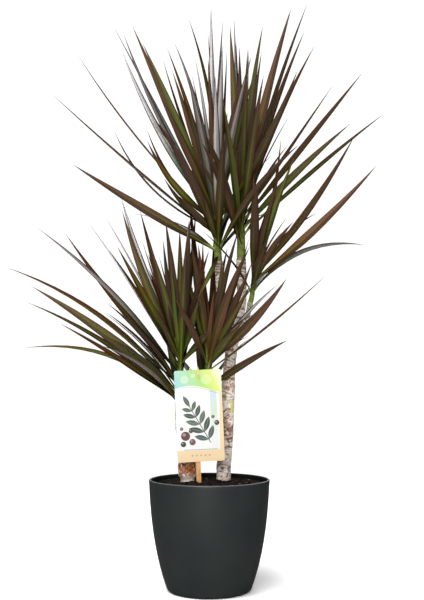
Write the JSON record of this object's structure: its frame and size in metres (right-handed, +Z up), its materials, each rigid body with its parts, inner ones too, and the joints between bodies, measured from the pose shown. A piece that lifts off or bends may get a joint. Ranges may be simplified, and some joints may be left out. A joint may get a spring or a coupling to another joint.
{
  "type": "potted_dracaena",
  "caption": "A slender dracaena with a tall cane and a short cane in a round tapering dark plastic pot, its heads of narrow reddish green leaves above a plant tag on a forked stick",
  "frame": {"origin": "centre of the pot's flat base, where it stands on the floor", "axes": "+Z up along the plant, -Y towards the viewer and the face of the plant tag, +X to the viewer's right"},
  "size_m": [0.6496, 0.489, 1.0201],
  "materials": {
    "pot_plastic": "satin moulded plastic",
    "potting_soil": "crumbly and rough",
    "bark": "rough with ring scars",
    "label": "plain blank label",
    "card": "smooth printed card",
    "holder": "smooth moulded plastic",
    "leaf": "satin living leaf"
  },
  "bodies": {
    "root": {"pot": "pot_plastic", "soil": "potting_soil", "tall_cane": "bark", "short_cane": "bark", "cane_label": "label", "tag_card": "card", "tag_holder": "holder", "leaves_tall_left": "leaf", "leaves_tall_middle": "leaf", "leaves_tall_right": "leaf", "leaves_short_left": "leaf", "leaves_short_right": "leaf"}
  },
  "joints": []
}
